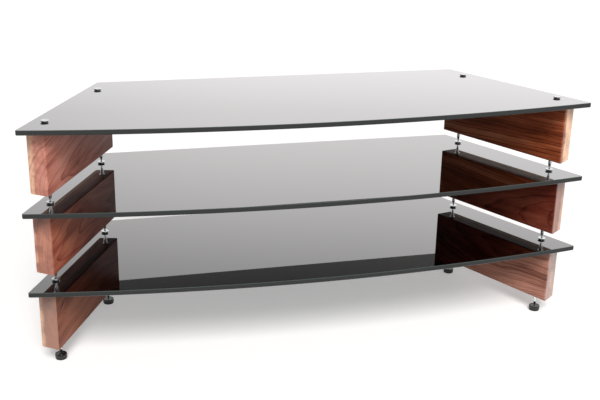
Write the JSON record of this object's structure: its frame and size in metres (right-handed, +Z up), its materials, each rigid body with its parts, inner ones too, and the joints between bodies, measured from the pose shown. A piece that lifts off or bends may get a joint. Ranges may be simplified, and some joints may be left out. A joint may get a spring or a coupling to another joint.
{
  "type": "corner tv stand",
  "caption": "Corner TV stand: bowed tinted glass shelves on solid walnut side blocks, each tier standing on chromed levelling spikes in dished caps and floor feet.",
  "frame": {"origin": "on the floor, in the middle of the plan of the shelves", "axes": "+X to the right seen from the front, +Y to the back, +Z up"},
  "size_m": [1.2, 0.425, 0.5165],
  "materials": {
    "glass": "black tinted toughened glass, polished, ground edges",
    "walnut": "satin lacquered solid walnut",
    "chrome": "polished chrome plating",
    "nylon": "natural nylon",
    "inserts": "bright zinc plating",
    "foot": "gloss black",
    "rubber": "matt black rubber"
  },
  "bodies": {
    "bottom_tier": {"glass_bottom": "glass", "block_bottom_left": "walnut", "block_bottom_right": "walnut", "caps_bottom": "chrome", "bushes_bottom": "nylon", "cap_inserts_bottom": "inserts", "spike_inserts_bottom": "inserts"},
    "middle_tier": {"glass_middle": "glass", "block_middle_left": "walnut", "block_middle_right": "walnut", "caps_middle": "chrome", "bushes_middle": "nylon", "cap_inserts_middle": "inserts", "spike_inserts_middle": "inserts"},
    "top_tier": {"glass_top": "glass", "block_top_left": "walnut", "block_top_right": "walnut", "caps_top": "chrome", "bushes_top": "nylon", "cap_inserts_top": "inserts", "spike_inserts_top": "inserts"},
    "spike_bottom_front_left": {"spike_bottom_front_left": "chrome"},
    "spike_bottom_front_right": {"spike_bottom_front_right": "chrome"},
    "spike_bottom_rear_left": {"spike_bottom_rear_left": "chrome"},
    "spike_bottom_rear_right": {"spike_bottom_rear_right": "chrome"},
    "spike_middle_front_left": {"spike_middle_front_left": "chrome"},
    "spike_middle_front_right": {"spike_middle_front_right": "chrome"},
    "spike_middle_rear_left": {"spike_middle_rear_left": "chrome"},
    "spike_middle_rear_right": {"spike_middle_rear_right": "chrome"},
    "spike_top_front_left": {"spike_top_front_left": "chrome"},
    "spike_top_front_right": {"spike_top_front_right": "chrome"},
    "spike_top_rear_left": {"spike_top_rear_left": "chrome"},
    "spike_top_rear_right": {"spike_top_rear_right": "chrome"},
    "foot_front_left": {"foot_front_left": "foot", "foot_pad_front_left": "rubber"},
    "foot_front_right": {"foot_front_right": "foot", "foot_pad_front_right": "rubber"},
    "foot_rear_left": {"foot_rear_left": "foot", "foot_pad_rear_left": "rubber"},
    "foot_rear_right": {"foot_rear_right": "foot", "foot_pad_rear_right": "rubber"}
  },
  "joints": [
    {"name": "middle_tier_lift", "type": "slide", "parent": "bottom_tier", "child": "middle_tier", "axis": [0, 0, 1], "range_m": [0, 0.15]},
    {"name": "top_tier_lift", "type": "slide", "parent": "middle_tier", "child": "top_tier", "axis": [0, 0, 1], "range_m": [0, 0.15]},
    {"name": "spike_middle_front_left_turn", "type": "hinge", "parent": "middle_tier", "child": "spike_middle_front_left", "pos_m": [-0.54528, -0.1095, 0.1815], "axis": [0, 0, 1], "range_deg": [-3600, 2880]},
    {"name": "spike_middle_front_right_turn", "type": "hinge", "parent": "middle_tier", "child": "spike_middle_front_right", "pos_m": [0.54528, -0.1095, 0.1815], "axis": [0, 0, 1], "range_deg": [-3600, 2880]},
    {"name": "spike_middle_rear_left_turn", "type": "hinge", "parent": "middle_tier", "child": "spike_middle_rear_left", "pos_m": [-0.42991, 0.13792, 0.1815], "axis": [0, 0, 1], "range_deg": [-3600, 2880]},
    {"name": "spike_middle_rear_right_turn", "type": "hinge", "parent": "middle_tier", "child": "spike_middle_rear_right", "pos_m": [0.42991, 0.13792, 0.1815], "axis": [0, 0, 1], "range_deg": [-3600, 2880]},
    {"name": "spike_top_front_left_turn", "type": "hinge", "parent": "top_tier", "child": "spike_top_front_left", "pos_m": [-0.54528, -0.1095, 0.3485], "axis": [0, 0, 1], "range_deg": [-3600, 2880]},
    {"name": "spike_top_front_right_turn", "type": "hinge", "parent": "top_tier", "child": "spike_top_front_right", "pos_m": [0.54528, -0.1095, 0.3485], "axis": [0, 0, 1], "range_deg": [-3600, 2880]},
    {"name": "spike_top_rear_left_turn", "type": "hinge", "parent": "top_tier", "child": "spike_top_rear_left", "pos_m": [-0.42991, 0.13792, 0.3485], "axis": [0, 0, 1], "range_deg": [-3600, 2880]},
    {"name": "spike_top_rear_right_turn", "type": "hinge", "parent": "top_tier", "child": "spike_top_rear_right", "pos_m": [0.42991, 0.13792, 0.3485], "axis": [0, 0, 1], "range_deg": [-3600, 2880]},
    {"name": "foot_front_left_level", "type": "slide", "parent": "bottom_tier", "child": "foot_front_left", "axis": [0, 0, 1], "range_m": [-0.0075, 0.01]},
    {"name": "spike_bottom_front_left_turn", "type": "hinge", "parent": "foot_front_left", "child": "spike_bottom_front_left", "pos_m": [-0.54528, -0.1095, 0.009], "axis": [0, 0, 1], "range_deg": [-2170, 2890]},
    {"name": "foot_front_right_level", "type": "slide", "parent": "bottom_tier", "child": "foot_front_right", "axis": [0, 0, 1], "range_m": [-0.0075, 0.01]},
    {"name": "spike_bottom_front_right_turn", "type": "hinge", "parent": "foot_front_right", "child": "spike_bottom_front_right", "pos_m": [0.54528, -0.1095, 0.009], "axis": [0, 0, 1], "range_deg": [-2170, 2890]},
    {"name": "foot_rear_left_level", "type": "slide", "parent": "bottom_tier", "child": "foot_rear_left", "axis": [0, 0, 1], "range_m": [-0.0075, 0.01]},
    {"name": "spike_bottom_rear_left_turn", "type": "hinge", "parent": "foot_rear_left", "child": "spike_bottom_rear_left", "pos_m": [-0.42991, 0.13792, 0.009], "axis": [0, 0, 1], "range_deg": [-2170, 2890]},
    {"name": "foot_rear_right_level", "type": "slide", "parent": "bottom_tier", "child": "foot_rear_right", "axis": [0, 0, 1], "range_m": [-0.0075, 0.01]},
    {"name": "spike_bottom_rear_right_turn", "type": "hinge", "parent": "foot_rear_right", "child": "spike_bottom_rear_right", "pos_m": [0.42991, 0.13792, 0.009], "axis": [0, 0, 1], "range_deg": [-2170, 2890]}
  ],
  "couplings": [
    {"joint": "spike_bottom_front_left_turn", "follows": "foot_front_left_level", "rad_per_m": 5026.5},
    {"joint": "spike_bottom_front_right_turn", "follows": "foot_front_right_level", "rad_per_m": 5026.5},
    {"joint": "spike_bottom_rear_left_turn", "follows": "foot_rear_left_level", "rad_per_m": 5026.5},
    {"joint": "spike_bottom_rear_right_turn", "follows": "foot_rear_right_level", "rad_per_m": 5026.5}
  ]
}
